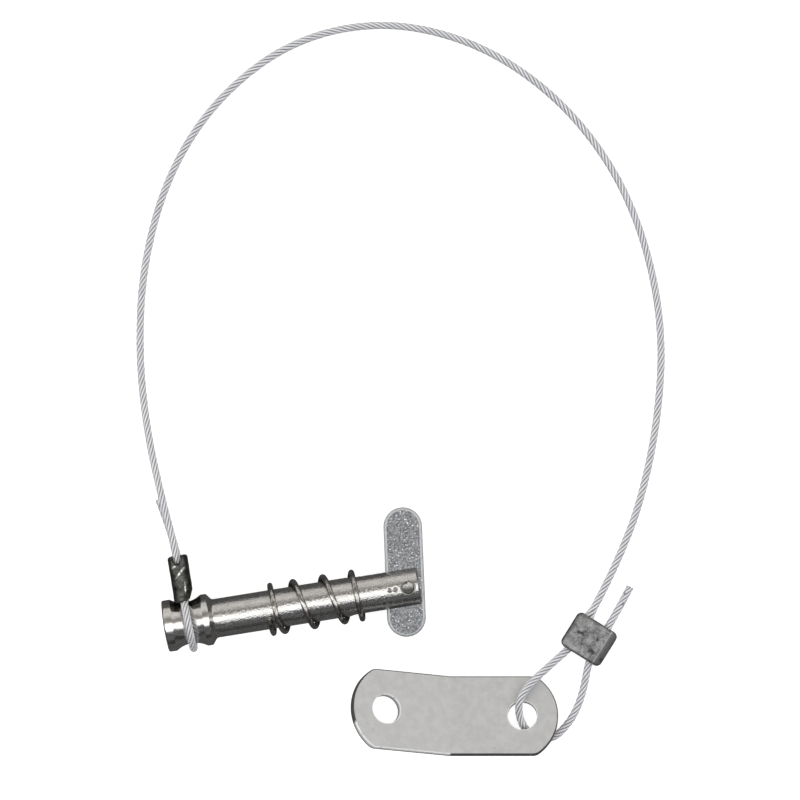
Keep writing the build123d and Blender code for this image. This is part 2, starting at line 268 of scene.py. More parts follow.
def tube(line, radius, sides, reference, end_round=0.5, flare=None):
    """Rings of a round tube: each line point plus radius times the cosine and sine of the ring's angle on
    the two square vectors, the first widened by the flare; the ends close in a quarter round whose radius
    is end_round times the tube's."""
    along, side, up = square_frame(line, reference)
    wide = side if flare is None else side * flare[:, None]
    angle = np.linspace(0, TURN, sides, endpoint=False)[None, :, None]
    ring = np.cos(angle) * wide[:, None] + np.sin(angle) * up[:, None]
    step = np.linspace(0, math.pi / 2, 5)[1:]
    shrink = 1 - end_round * (1 - np.cos(step))
    reach = end_round * radius * np.sin(step)
    first, last = line[0] - np.outer(reach, along[0]), line[-1] + np.outer(reach, along[-1])
    head = first[:, None] + radius * shrink[:, None, None] * ring[0][None]
    tail = last[:, None] + radius * shrink[:, None, None] * ring[-1][None]
    poles = [np.repeat(p[-1][None, None], sides, 1) for p in (first, last)]
    return np.concatenate([poles[0], head[::-1], line[:, None] + radius * ring, tail, poles[1]])


def strand_surface(line, reference, k, flare):
    """Strand k of six: its middle lies STRAND_RING out from the rope's at angle k/6 turn less one turn for
    each lay. Its section is halfway between a circle and the outline of six wires, WIRE_RING cos d +
    sqrt(WIRE_RADIUS^2 - (WIRE_RING sin d)^2) at angle d from a wire's middle, and turns the other way along
    the strand. Gives the points and how far out from the rope's middle each is, from 0 deep in to 1: the
    painted light, which paints the valleys between the strands in shade."""
    along, side, up = square_frame(line, reference)
    run = np.r_[0, np.cumsum(np.linalg.norm(np.diff(line, axis=0), axis=1))]
    angle = TURN * (k / 6 - run / ROPE_LAY)
    wide = side * flare[:, None]
    middle = line + STRAND_RING * (np.cos(angle)[:, None] * wide + np.sin(angle)[:, None] * up)
    out = np.cos(angle)[:, None] * side + np.sin(angle)[:, None] * up
    forward = unit(np.gradient(middle, axis=0))
    across = unit(np.cross(forward, out))
    out = np.cross(across, forward)
    points_round = 24
    round_angle = np.linspace(0, TURN, points_round, endpoint=False)
    d = (round_angle + TURN / 12) % (TURN / 6) - TURN / 12
    reach = WIRE_RING * np.cos(d) + np.sqrt(np.maximum(WIRE_RADIUS**2 - (WIRE_RING * np.sin(d)) ** 2, 0))
    reach = (reach + WIRE_RING + WIRE_RADIUS) / 2
    twist = round_angle[None] + TURN * run[:, None] / STRAND_LAY
    ring = np.cos(twist)[..., None] * out[:, None] + np.sin(twist)[..., None] * across[:, None]
    points = middle[:, None] + reach[None, :, None] * ring
    poles = [np.repeat(middle[end][None, None], points_round, 1) for end in (0, -1)]
    points = np.concatenate([poles[0], points, poles[1]])
    centre = np.concatenate([line[:1], line, line[-1:]])
    out_there = np.linalg.norm(points - centre[:, None], axis=2)
    outermost = STRAND_RING + WIRE_RING + WIRE_RADIUS
    return points, smooth_step(out_there, 0.74 * outermost, 0.97 * outermost)


def rope(name, route, node, reference, flare_at=None):
    """One stretch of wire rope: six strands round a core, in one or two pieces, under a clear tube of the
    rope's full diameter. flare_at is how far from the line's end a sleeve spreads it flat, or None."""
    line = smooth_line(name, route, ROPE_STEP)
    steps = np.linalg.norm(np.diff(line, axis=0), axis=1)
    to_end = steps.sum() - np.r_[0, np.cumsum(steps)]
    flare = np.ones(len(line))
    if flare_at is not None:
        flare += 0.5 * (1 - smooth_step(to_end, flare_at, flare_at + 3.2 * MM))
    groups = [range(6)] if len(line) < 500 else [range(3), range(3, 6)]
    strands = []
    for letter, group in zip("ab", groups):
        surfaces, painted_light = zip(*(strand_surface(line, reference, k, flare) for k in group))
        rows, columns = surfaces[0].shape[:2]
        quads = [grid_quads(rows, columns, first=i * rows * columns) for i in range(len(surfaces))]
        strands.append(piece_from(f"{name}_strands_{letter}", np.array(surfaces), np.concatenate(quads),
                                  rope_wire, painted_light=np.array(painted_light)))
    core = tube(line, WIRE_RING + WIRE_RADIUS, 10, reference)
    # painted shade: the core's painted_light is 0 all along, so all of it is painted dark
    strands.append(piece_from(name + "_core", core, grid_quads(*core.shape[:2]), rope_wire,
                              painted_light=np.zeros(core.shape[:2])))
    rings = tube(line, ROPE_DIAMETER / 2, 24, reference, 0.8, flare)
    coat = piece_from(name + "_coat", rings, grid_quads(*rings.shape[:2]), clear_coat)
    for piece in (coat, *strands):
        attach(piece, "lanyard")
    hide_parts(node)


# ---------------------------------------------------------------- spring
def spring():
    """The whole coil spring: at angle a about the pin's axis its wire lies COIL_RADIUS out, and the distance
    along the axis is the sum of the pitch, which eases from closed to open and back over a quarter turn."""
    total = HEAD_CLOSED_TURNS + OPEN_TURNS + NOSE_CLOSED_TURNS
    turns = np.linspace(0, total, int(total * 72) + 1)
    ease = 0.13
    opened = smooth_step(turns, HEAD_CLOSED_TURNS - ease, HEAD_CLOSED_TURNS + ease)
    closing = HEAD_CLOSED_TURNS + OPEN_TURNS
    opened *= 1 - smooth_step(turns, closing - ease, closing + ease)
    pitch = CLOSED_PITCH + (OPEN_PITCH - CLOSED_PITCH) * opened
    advance = np.r_[0, np.cumsum((pitch[1:] + pitch[:-1]) / 2 * np.diff(turns))]
    angle = SPRING_START_PHASE + TURN * turns
    start = HEAD_END + SPRING_START
    line = np.stack([start + advance, PIN_Y + SPRING_COIL_RADIUS * np.cos(angle),
                     AXIS_Z + SPRING_COIL_RADIUS * np.sin(angle)], 1)
    rings = tube(line, SPRING_WIRE_RADIUS, 24, (1, 0, 0), end_round=0.16)
    piece = piece_from("spring_wire_coil", rings, grid_quads(*rings.shape[:2]), spring_wire)
    weigh_normals(piece, 50)
    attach(piece, "spring")
    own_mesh(piece)
    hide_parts("spring_head_end_coil", "spring_coils", "spring_nose_end_coil")


# ---------------------------------------------------------------- plates with a hole
def plate_rows(outline, hole_middle, hole_radius, thickness, edge_round, rim_round, steps=14):
    """Rows of points round a flat ring-shaped plate, from the hole's wall over the top face, round the outer
    edge and back under it. outline(inset) gives the outer line drawn in by inset. A face point is a straight
    blend from the hole's rim to the outer line, eased so that rows crowd near both edges, and each edge is
    a quarter circle: inset r (1 - sin a), height T/2 - r (1 - cos a). Gives the rows and, for the quads that
    follow each row, whether they are on the outer edge and whether they are on the hole's wall."""
    half = thickness / 2
    full = outline(0.0)
    aim = unit(full - hole_middle)
    turn = np.linspace(0, math.pi / 2, 6)
    rows = []

    def add(flat, height):
        rows.append(np.concatenate([flat, np.full((len(flat), 1), height)], 1))

    for a in turn:
        reach = hole_radius + rim_round * (1 - np.cos(a))
        add(hole_middle + aim * reach, half - rim_round * (1 - np.sin(a)))
    rim = hole_middle + aim * (hole_radius + rim_round)
    inner_line = outline(edge_round)
    for share in np.linspace(0, 1, steps + 2)[1:-1]:
        blend = share * share * (3 - 2 * share)
        add(rim + blend * (inner_line - rim), half)
    for a in turn:
        add(outline(edge_round * (1 - np.sin(a))), half - edge_round * (1 - np.cos(a)))
    top = np.array(rows)
    grid = np.concatenate([top, top[::-1] * (1, 1, -1)])
    row = np.arange(len(grid))
    outer = np.abs(row + 1 - len(top)) < len(turn)
    wall = (row < len(turn) - 1) | (row >= len(grid) - len(turn))
    return grid, outer, wall


def toggle():
    """The flat toggle bar: a full-round bar outline with soft edges and the pivot's hole, turned to rest."""
    half_length = (TOGGLE_LONG_ARM + TOGGLE_SHORT_ARM) / 2
    middle = np.array([(TOGGLE_LONG_ARM - TOGGLE_SHORT_ARM) / 2, TOGGLE_OFFSET])
    half_width = TOGGLE_WIDTH / 2

    def outline(inset):
        return middle + rounded_rectangle(half_length, half_width, half_width, inset, 20, 24)

    rows, outer, _ = plate_rows(outline, np.zeros(2), TOGGLE_HOLE, TOGGLE_THICKNESS, TOGGLE_ROUND,
                                TOGGLE_RIM_ROUND, steps=20)
    c, s = math.cos(TOGGLE_ANGLE), math.sin(TOGGLE_ANGLE)
    x, y, z = np.moveaxis(rows, -1, 0)
    points = np.stack([PIVOT.x + c * x - s * y, PIVOT.y + s * x + c * y, PIVOT.z + z], -1)
    quads = grid_quads(*points.shape[:2], wrap_rows=True)
    # the rounded outer edge takes the rim's painted highlight
    piece = piece_from("toggle_bar_tumbled", points, quads, tumbled_stainless, rim_painted_highlight,
                       outer[quads[:, 0] // points.shape[1]])
    weigh_normals(piece, 60)
    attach(piece, "toggle")
    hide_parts("toggle_bar")


def arm_outline(length, start_x, inset):
    """Half the tab's outline, from the bend strip round the crowned end and back: the long side is a line,
    the corner an arc of the corner radius, the end an arc of the crown radius, each drawn in by inset, and
    then across the plate at start_x. The first and last points lie on the two long sides at start_x."""
    half = TAB_WIDTH / 2
    crown_x = length - TAB_CROWN_RADIUS
    corner_y = half - TAB_CORNER_RADIUS
    corner_x = crown_x + math.sqrt((TAB_CROWN_RADIUS - TAB_CORNER_RADIUS) ** 2 - corner_y**2)
    meet = math.atan2(corner_y, corner_x - crown_x)
    line_x = np.linspace(start_x, corner_x, 22)[:-1]
    long_side = np.stack([line_x, np.full_like(line_x, half - inset)], 1)
    angle = np.linspace(TURN / 4, meet, 10)[:-1]
    corner = (corner_x, corner_y) + (TAB_CORNER_RADIUS - inset) * np.stack([np.cos(angle), np.sin(angle)], 1)
    angle = np.linspace(meet, 0, 16)
    crown = (crown_x, 0) + (TAB_CROWN_RADIUS - inset) * np.stack([np.cos(angle), np.sin(angle)], 1)
    upper = np.concatenate([long_side, corner, crown])
    lower = upper[-2::-1] * (1, -1)
    across_y = np.linspace(-(half - inset), half - inset, TAB_ACROSS + 1)[1:-1]
    across = np.stack([np.full_like(across_y, start_x), across_y], 1)
    return np.concatenate([upper, lower, across])


def tab():
    """The mounting tab: two ring-shaped arm plates joined by a strip that is bent to an arc, then tilted.

    Flat plate point (x, y, z) lies at the middle line's bent place for x plus z times that line's normal:
    the line is straight on the rope's side, an arc of the bend radius over the strip, straight again past
    it. A point's painted light is 1 high on a hole's wall and along the raised arm's low side, where the
    cut edge gets a painted highlight, and 0 elsewhere, where the cut edge is painted in shade."""
    half_strip = TAB_BEND_RADIUS * TAB_BEND / 2
    reach = half_strip + 0.25 * MM
    points, quads, cut, painted_light, count = [], [], [], [], 0
    for length, direction in ((TAB_ROPE_ARM, 1), (TAB_SCREW_ARM, -1)):
        rows, outer, wall = plate_rows(lambda inset: arm_outline(length, reach, inset),
                                       np.array([length - TAB_END_TO_HOLE, 0]), TAB_HOLE_RADIUS,
                                       TAB_THICKNESS, TAB_EDGE_ROUND, TAB_RIM_ROUND)
        height, width = rows.shape[:2]
        faces = grid_quads(height, width, wrap_rows=True)
        row, column = faces[:, 0] // width, faces[:, 0] % width
        kept = ~(outer[row] & (column >= width - TAB_ACROSS))
        quads.append(faces[kept] + count)
        cut.append((outer | wall)[row][kept])
        # painted highlight: the upper part of each hole's wall, and on the screw arm the low side's edge, are
        # marked lit
        lit = np.repeat((np.roll(wall, 1) | wall)[:, None], width, 1)
        if direction < 0:
            lit |= rows[..., 1] < -0.2 * TAB_WIDTH
        painted_light.append(lit * smooth_step(rows[..., 2], -0.25 * TAB_THICKNESS, 0.1 * TAB_THICKNESS))
        points.append(rows * (direction, 1, 1))
        count += height * width
    turn = np.linspace(0, math.pi / 2, 6)
    half, half_thick = TAB_WIDTH / 2, TAB_THICKNESS / 2
    across_y = np.linspace(-(half - TAB_EDGE_ROUND), half - TAB_EDGE_ROUND, TAB_ACROSS + 1)
    edge_y = half - TAB_EDGE_ROUND * (1 - np.sin(turn[1:]))
    edge_z = half_thick - TAB_EDGE_ROUND * (1 - np.cos(turn[1:]))
    top = np.concatenate([
        np.stack([-edge_y[::-1], edge_z[::-1]], 1),
        np.stack([across_y, np.full_like(across_y, half_thick)], 1),
        np.stack([edge_y, edge_z], 1)])
    loop = np.concatenate([top, top[::-1] * (1, -1)])
    stations = np.linspace(-reach, reach, 13)
    strip = np.concatenate([
        np.broadcast_to(stations[:, None, None], (13, len(loop), 1)),
        np.broadcast_to(loop[None], (13, len(loop), 2))], 2)
    strip_quads = grid_quads(*strip.shape[:2])
    quads.append(strip_quads + count)
    column = strip_quads[:, 0] % len(loop)
    on_top = (column >= len(edge_y)) & (column < len(edge_y) + TAB_ACROSS)
    on_bottom = (column >= len(top) + len(edge_y)) & (column < len(top) + len(edge_y) + TAB_ACROSS)
    cut.append(~(on_top | on_bottom))
    # painted highlight along the strip's edge on the raised arm's low side
    painted_light.append((strip[..., 0] < 0) & (strip[..., 1] < 0) & (strip[..., 2] > -0.3 * TAB_THICKNESS))
    painted_light = np.concatenate([np.ravel(part) for part in painted_light])
    points = np.concatenate([p.reshape(-1, 3) for p in (*points, strip)])

    x, y, z = points.T
    bent = np.clip((half_strip - x) / TAB_BEND_RADIUS, 0, TAB_BEND)
    past = np.minimum(x + half_strip, 0)
    middle_x = np.where(x > half_strip, x, half_strip - TAB_BEND_RADIUS * np.sin(bent)) + past * np.cos(bent)
    middle_z = TAB_BEND_RADIUS * (1 - np.cos(bent)) - past * np.sin(bent)
    bent_x, bent_z = middle_x + z * np.sin(bent), middle_z + z * np.cos(bent)
    along = unit(np.array([TAB_NORMAL[1], -TAB_NORMAL[0], 0]))
    across = np.cross(TAB_NORMAL, along)
    origin = ROPE_HOLE - along * (TAB_ROPE_ARM - TAB_END_TO_HOLE)
    placed = origin + np.outer(bent_x, along) + np.outer(y, across) + np.outer(bent_z, TAB_NORMAL)
    # the cut edges take the painted shade and highlight of the cut-edge material
    piece = piece_from("mounting_tab_plate", placed, np.concatenate(quads), matte_stainless, cut_edge_shade_and_highlight,
                       np.concatenate(cut), painted_light)
    weigh_normals(piece, 60)
    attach(piece, "tab")
    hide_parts("mounting_tab")


# ---------------------------------------------------------------- sleeves
def closed_body(section, shrink, offset):
    """Stacks copies of an outline: copy i is section(inset i) at offset i, and the two end copies shrink to
    the middle in even steps, so that the body closes in a pole at each end."""
    rows = [np.concatenate([section(inset), np.full((len(section(inset)), 1), at)], 1)
            for inset, at in zip(shrink, offset)]
    caps = []
    for end in (rows[0], rows[-1]):
        middle = end.mean(0)
        caps.append([middle + share * (end - middle) for share in np.linspace(0, 1, 9)[:-1]])
    return np.array([*caps[0], *rows, *caps[1][::-1]])


def pin_sleeve():
    """The dark oval sleeve: a stadium section stood upright and carried along +Y, with rounded ends, pressed
    hollows, a mouth narrower on the nose side and hollowed to a cylinder about the pin's axis, dimples where
    the rope enters and a notch over its outer end."""
    size = sleeve_high - sleeve_low
    middle = (sleeve_low + sleeve_high) / 2
    corner = 0.55 * MM
    turn = np.linspace(0, math.pi / 2, 7)
    low = corner * (1 - np.cos(turn))
    drawn = corner * (1 - np.sin(turn))
    body = np.linspace(corner, size.y - corner, 46)[1:-1]
    along = np.r_[low, body, size.y - low[::-1]]
    inset = np.r_[drawn, 0 * body, drawn[::-1]]

    def section(inset):
        return rounded_rectangle(size.x / 2, size.z / 2, size.x / 2, inset, 18, 22)

    grid = closed_body(section, inset, along)
    x, z, y = np.moveaxis(grid, -1, 0)
    narrow = SLEEVE_TAPER * np.clip(1 - y / SLEEVE_TAPER_RUN, 0, 1)
    x = x - narrow * smooth_step(x, -size.x / 2, size.x / 2)
    for at, depth in ((2.5, 0.14), (5.3, 0.16)):
        press = np.exp(-(((y - at * MM) / (0.75 * MM)) ** 2))
        x = x * (1 - depth * press * smooth_step(np.abs(z), 1.5 * MM, 3.8 * MM))
    for leg in (-1, 1):
        away = np.hypot(x, z - leg * LEG_SPACING / 2)
        dimple = 0.5 * MM * np.exp(-((away / (0.95 * MM)) ** 4))
        at_far, at_near = smooth_step(y, size.y - 0.6 * MM, size.y), 1 - smooth_step(y, 0, 0.6 * MM)
        y = y - dimple * at_far + dimple * at_near
    hollow = np.sqrt(np.maximum(SLEEVE_SADDLE**2 - z**2, 0)) - (sleeve_low.y - PIN_Y)
    y = y + np.maximum(hollow, 0) * (1 - smooth_step(y, 0, SLEEVE_TAPER_RUN))
    notch = np.exp(-(((x + 0.1 * MM) / (0.95 * MM)) ** 4)) * smooth_step(z, 0.6 * MM, 3.4 * MM)
    y = y - 1.5 * MM * notch * smooth_step(y, size.y - 3.4 * MM, size.y)
    points = np.stack([middle.x + x, sleeve_low.y + y, middle.z + z], -1)
    piece = piece_from("pin_ferrule_crimped", points, grid_quads(*points.shape[:2]), dark_sleeve)
    weigh_normals(piece, 70)
    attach(piece, "lanyard")
    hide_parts("pin_ferrule")


def tab_sleeve():
    """The grey block sleeve: a round-cornered plan carried upright with round edges, its top a little crowned
    and its outer long side pressed to a slope, dimpled where the rope's legs enter."""
    middle = (crimp_low + crimp_high) / 2
    height = crimp_high.z - crimp_low.z
    edge = 0.55 * MM
    turn = np.linspace(0, math.pi / 2, 9)
    low = edge * (1 - np.cos(turn))
    drawn = edge * (1 - np.sin(turn))
    wall = np.linspace(edge, height - edge, 12)[1:-1]
    up = np.r_[low, wall, height - low[::-1]]
    inset = np.r_[drawn, 0 * wall, drawn[::-1]]

    def section(inset):
        return rounded_rectangle(CRIMP_LENGTH / 2, CRIMP_WIDTH / 2, 1.15 * MM, inset, 12, 22)

    x, y, z = np.moveaxis(closed_body(section, inset, up), -1, 0)
    top = smooth_step(z, height * 0.5, height)
    slope = 0.75 * MM * smooth_step(-y, CRIMP_WIDTH * 0.31, CRIMP_WIDTH * 0.5)
    crown = 0.14 * MM * ((2 * x / CRIMP_LENGTH) ** 2 + (2 * y / CRIMP_WIDTH) ** 2)
    z = z - top * (slope + crown)
    for leg in (-1, 1):
        away = np.hypot(y - CRIMP_SIDE - leg * LEG_SPACING / 2, z - height / 2)
        dimple = 0.4 * MM * np.exp(-((away / (1.0 * MM)) ** 4))
        x = x - np.sign(x) * dimple * smooth_step(np.abs(x), CRIMP_LENGTH / 2 - 0.7 * MM, CRIMP_LENGTH / 2)
    c, s = math.cos(CRIMP_ANGLE), math.sin(CRIMP_ANGLE)
    points = np.stack([middle.x + c * x - s * y, middle.y + s * x + c * y, crimp_low.z + z], -1)
    piece = piece_from("tab_ferrule_crimped", points, grid_quads(*points.shape[:2]), grey_sleeve)
    weigh_normals(piece, 70)
    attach(piece, "lanyard")
    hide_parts("tab_ferrule")


# ---------------------------------------------------------------- shader tools
class Nodes:
    """A short way to place and join shader nodes in one tree."""

    def __init__(self, tree):
        self.tree = tree

    def join(self, value, socket):
        """Gives a socket a value or another node's output."""
        if isinstance(value, bpy.types.NodeSocket):
            self.tree.links.new(value, socket)
        else:
            socket.default_value = value

    def add(self, kind, inputs=(), **settings):
        """A node of the kind, its settings set, and each (input, value or socket) pair joined."""
        node = self.tree.nodes.new(kind)
        for key, value in settings.items():
            setattr(node, key, value)
        for key, value in inputs:
            self.join(value, node.inputs[key])
        return node

    def math(self, operation, *values):
        """One sum of numbers or sockets."""
        return self.add("ShaderNodeMath", enumerate(values), operation=operation).outputs[0]

    def noise(self, vector, scale, detail=2.0, roughness=0.5):
        """Fractal noise between 0 and 1, its scale in waves per metre."""
        pairs = (("Vector", vector), ("Scale", scale), ("Detail", detail), ("Roughness", roughness))
        return self.add("ShaderNodeTexNoise", pairs).outputs["Fac"]

    def step(self, value, low, high, to_low=0.0, to_high=1.0):
        """A value's smooth step from low to high."""
        pairs = enumerate((value, low, high, to_low, to_high))
        return self.add("ShaderNodeMapRange", pairs, interpolation_type="SMOOTHSTEP").outputs[0]

    def distance(self, vector, point):
        """How far a vector is from a point."""
        pairs = ((0, vector), (1, point))
        return self.add("ShaderNodeVectorMath", pairs, operation="DISTANCE").outputs["Value"]

    def split(self, vector):
        """A vector's X, Y and Z."""
        return self.add("ShaderNodeSeparateXYZ", (("Vector", vector),)).outputs

    def mix(self, share, first, second):
        """Two colours mixed by a share."""
        pairs = ((0, share), (6, first), (7, second))
        return self.add("ShaderNodeMix", pairs, data_type="RGBA").outputs[2]

    def stretch(self, vector, scale=(1, 1, 1), turn=(0, 0, 0), middle=(0, 0, 0)):
        """The vector from a middle point, turned and then scaled."""
        moved = self.add("ShaderNodeVectorMath", ((0, vector), (1, middle)), operation="SUBTRACT").outputs[0]
        pairs = (("Vector", moved), ("Rotation", turn))
        turned = self.add("ShaderNodeMapping", pairs).outputs[0]
        return self.add("ShaderNodeVectorMath", ((0, turned), (1, scale)), operation="MULTIPLY").outputs[0]

    def group(self, tree, **values):
        """A node group placed with its named inputs."""
        node = self.tree.nodes.new("ShaderNodeGroup")
        node.node_tree = tree
        for key, value in values.items():
            self.join(value, node.inputs[key])
        return node.outputs


FLOAT, COLOUR, VECTOR = "NodeSocketFloat", "NodeSocketColor", "NodeSocketVector"


def effect(name, inputs, outputs, build):
    """A shader node group: inputs as (name, kind), outputs as (name, kind), filled by build."""
    group = bpy.data.node_groups.new(name, "ShaderNodeTree")
    for title, kind in inputs:
        group.interface.new_socket(name=title, in_out="INPUT", socket_type=kind)
    for title, kind in outputs:
        group.interface.new_socket(name=title, in_out="OUTPUT", socket_type=kind)
    build(Nodes(group), group.nodes.new("NodeGroupInput").outputs, group.nodes.new("NodeGroupOutput").inputs)
    return group


def build_grain(nodes, given, out):
    """Fine uneven grain: two sizes of noise added as a height, with the finer one given out as flecks."""
    fine = nodes.noise(given["Vector"], given["Scale"], 1.0, 0.6)
    coarse = nodes.noise(given["Vector"], nodes.math("MULTIPLY", given["Scale"], 0.32), 2.0)
    height = nodes.math("ADD", fine, nodes.math("MULTIPLY", coarse, 0.3))
    pairs = (("Strength", 1.0), ("Distance", given["Depth"]), ("Height", height))
    nodes.join(nodes.add("ShaderNodeBump", pairs).outputs[0], out["Normal"])
    nodes.join(nodes.step(fine, 0.3, 0.72), out["Flecks"])


def build_scratches(nodes, given, out):
    """Thin handling scratches: the narrow middle band of a noise drawn out along one direction, kept only
    where a slow noise is high."""
    drawn = nodes.stretch(given["Vector"], (1, 26, 26))
    lines = nodes.noise(drawn, given["Scale"], 1.0)
    offset = nodes.math("ABSOLUTE", nodes.math("SUBTRACT", lines, 0.5))
    thin = nodes.step(offset, 0.0, 0.022, 1.0, 0.0)
    where = nodes.noise(given["Vector"], nodes.math("MULTIPLY", given["Scale"], 1.7), 2.0)
    nodes.join(nodes.math("MULTIPLY", thin, nodes.step(where, 0.52, 0.66)), out["Mask"])


def build_clouds(nodes, given, out):
    """Slow uneven tone: three octaves of noise between a dark and a light colour."""
    cloud = nodes.step(nodes.noise(given["Vector"], given["Scale"], 4.0, 0.6), 0.3, 0.7)
    nodes.join(nodes.mix(cloud, given["Dark"], given["Light"]), out["Colour"])
    nodes.join(cloud, out["Cloud"])


grain = effect("grain", (("Vector", VECTOR), ("Scale", FLOAT), ("Depth", FLOAT)),
               (("Normal", VECTOR), ("Flecks", FLOAT)), build_grain)
scratches = effect("scratches", (("Vector", VECTOR), ("Scale", FLOAT)), (("Mask", FLOAT),), build_scratches)
clouds = effect("clouds", (("Vector", VECTOR), ("Scale", FLOAT), ("Dark", COLOUR), ("Light", COLOUR)),
                (("Colour", COLOUR), ("Cloud", FLOAT)), build_clouds)


def finish(name, build):
    """A material whose Principled BSDF is set and joined by build(nodes, shader inputs, object place)."""
    material = bpy.data.materials.new(name)
    material.use_nodes = True
    nodes = Nodes(material.node_tree)
    place = nodes.add("ShaderNodeTexCoord").outputs["Object"]
    build(nodes, material.node_tree.nodes["Principled BSDF"].inputs, place)
    return material


def grey(value, warmth=0.0):
    """A grey with a little more red and less blue as warmth rises."""
    return (value * (1 + warmth), value, value * (1 - 1.4 * warmth), 1)


def build_polished(nodes, shader, place):
    """Polished stainless: mirror-bright on the turned head, and on the shank a fine rolled grain that breaks
    reflections into sparkles, with two dents before the cross hole, bumped in and painted near black as shade."""
    shank = nodes.step(nodes.split(place)["X"], HEAD_END + 10.2 * MM, HEAD_END + 11.6 * MM)
    depth = nodes.math("MULTIPLY_ADD", shank, 0.05 * MM, 0.0015 * MM)
    grainy = nodes.group(grain, Vector=place, Scale=2900.0, Depth=depth)
    tone = nodes.group(clouds, Vector=nodes.stretch(place, (0.5, 1, 1)), Scale=900.0, Dark=grey(0.56, 0.03),
                       Light=grey(0.66, 0.02))
    marks = nodes.group(scratches, Vector=place, Scale=420.0)["Mask"]
    worn = nodes.mix(nodes.math("MULTIPLY", marks, 0.25), tone["Colour"], grey(0.2, 0.04))
    smooth = nodes.math("MULTIPLY_ADD", shank, 0.05, 0.1)
    rough = nodes.math("MULTIPLY_ADD", grainy["Flecks"], 0.1, smooth)
    rolled = nodes.math("MULTIPLY", shank, nodes.step(grainy["Flecks"], 0.2, 0.7, 0.25, 0.0))
    worn = nodes.mix(rolled, worn, grey(0.22, 0.0))
    nodes.join(nodes.math("MULTIPLY_ADD", marks, 0.2, rough), shader["Roughness"])
    height = 0.0
    for before_pivot, radius in ((2.56 * MM, 0.85 * MM), (3.74 * MM, 0.7 * MM)):
        spot = (PIVOT.x - before_pivot, PIN_Y + 0.1 * MM, pin_high.z - 1.3 * MM)
        gap = nodes.distance(place, spot)
        height = nodes.math("ADD", height, nodes.step(gap, 0.2 * radius, radius))
    # painted shade: the dents' middles are painted near black
    dent_shade = nodes.step(height, 1.0, 2.0, 0.8, 0.0)
    nodes.join(nodes.mix(dent_shade, worn, grey(0.05, 0.05)), shader["Base Color"])
    pairs = (("Strength", 1.0), ("Distance", 0.15 * MM), ("Height", height), ("Normal", grainy["Normal"]))
    nodes.join(nodes.add("ShaderNodeBump", pairs).outputs[0], shader["Normal"])
    shader["Metallic"].default_value = 1.0


def build_tumbled(nodes, shader, place):
    """Tumbled stainless: dark peened metal of random darker and lighter facets, with small near-white painted
    glints.
    """
    grainy = nodes.group(grain, Vector=place, Scale=2600.0, Depth=0.1 * MM)
    facets = nodes.step(nodes.noise(place, 2300.0, 2.0), 0.34, 0.66)
    tone = nodes.mix(facets, grey(0.11, -0.025), grey(0.27, -0.02))
    # painted glints: small near-white specks in the base colour
    bright = nodes.step(nodes.noise(place, 2900.0, 1.0), 0.62, 0.76)
    nodes.join(nodes.mix(bright, tone, grey(0.85, -0.01)), shader["Base Color"])
    nodes.join(nodes.math("MULTIPLY_ADD", facets, 0.1, 0.32), shader["Roughness"])
    nodes.join(grainy["Normal"], shader["Normal"])
    shader["Metallic"].default_value = 1.0


def build_rim_painted_highlight(nodes, shader, place):
    """The tumbled bar's rim: a painted highlight, much paler than the faces, with a few darker pits left in
    it.
    """
    pits = nodes.step(nodes.noise(place, 2600.0, 3.0), 0.56, 0.7, 0.0, 0.7)
    # painted highlight: the rim's pale grey stands in for light caught by the rounded edge
    nodes.join(nodes.mix(pits, grey(0.58, -0.01), grey(0.3)), shader["Base Color"])
    nodes.join(nodes.math("MULTIPLY_ADD", pits, 0.2, 0.5), shader["Roughness"])
    nodes.join(nodes.group(grain, Vector=place, Scale=2200.0, Depth=0.06 * MM)["Normal"], shader["Normal"])
    shader["Metallic"].default_value = 0.5


def build_pivot_steel(nodes, shader, place):
    """The pivot's peened ends: painted shade, near black, on the -Y side down in the toggle's hole, and a
    paler mottled grey painted as the lit side towards the loop's side.
    """
    side = nodes.math("SUBTRACT", nodes.split(place)["Y"], PIVOT.y)
    # painted light: paler towards +Y, with near-black painted shade towards -Y
    pale = nodes.step(side, -0.5 * MM, 0.9 * MM)
    mottled = nodes.math("MULTIPLY", pale, nodes.step(nodes.noise(place, 2300.0, 3.0), 0.25, 0.62))
    nodes.join(nodes.mix(mottled, grey(0.06, 0.05), grey(0.55, 0.02)), shader["Base Color"])
    nodes.join(nodes.math("MULTIPLY_ADD", mottled, 0.1, 0.35), shader["Roughness"])
    nodes.join(nodes.group(grain, Vector=place, Scale=2500.0, Depth=0.06 * MM)["Normal"], shader["Normal"])
    shader["Metallic"].default_value = 1.0


def build_spring_wire(nodes, shader, place):
    """Drawn spring wire: bright with a brown tinge, a fine grain and a few dark specks."""
    tone = nodes.group(clouds, Vector=place, Scale=1500.0, Dark=grey(0.22, 0.06), Light=grey(0.56, 0.04))
    nodes.join(tone["Colour"], shader["Base Color"])
    grainy = nodes.group(grain, Vector=place, Scale=5200.0, Depth=0.01 * MM)
    nodes.join(nodes.math("MULTIPLY_ADD", grainy["Flecks"], 0.1, 0.12), shader["Roughness"])
    nodes.join(grainy["Normal"], shader["Normal"])
    shader["Metallic"].default_value = 1.0


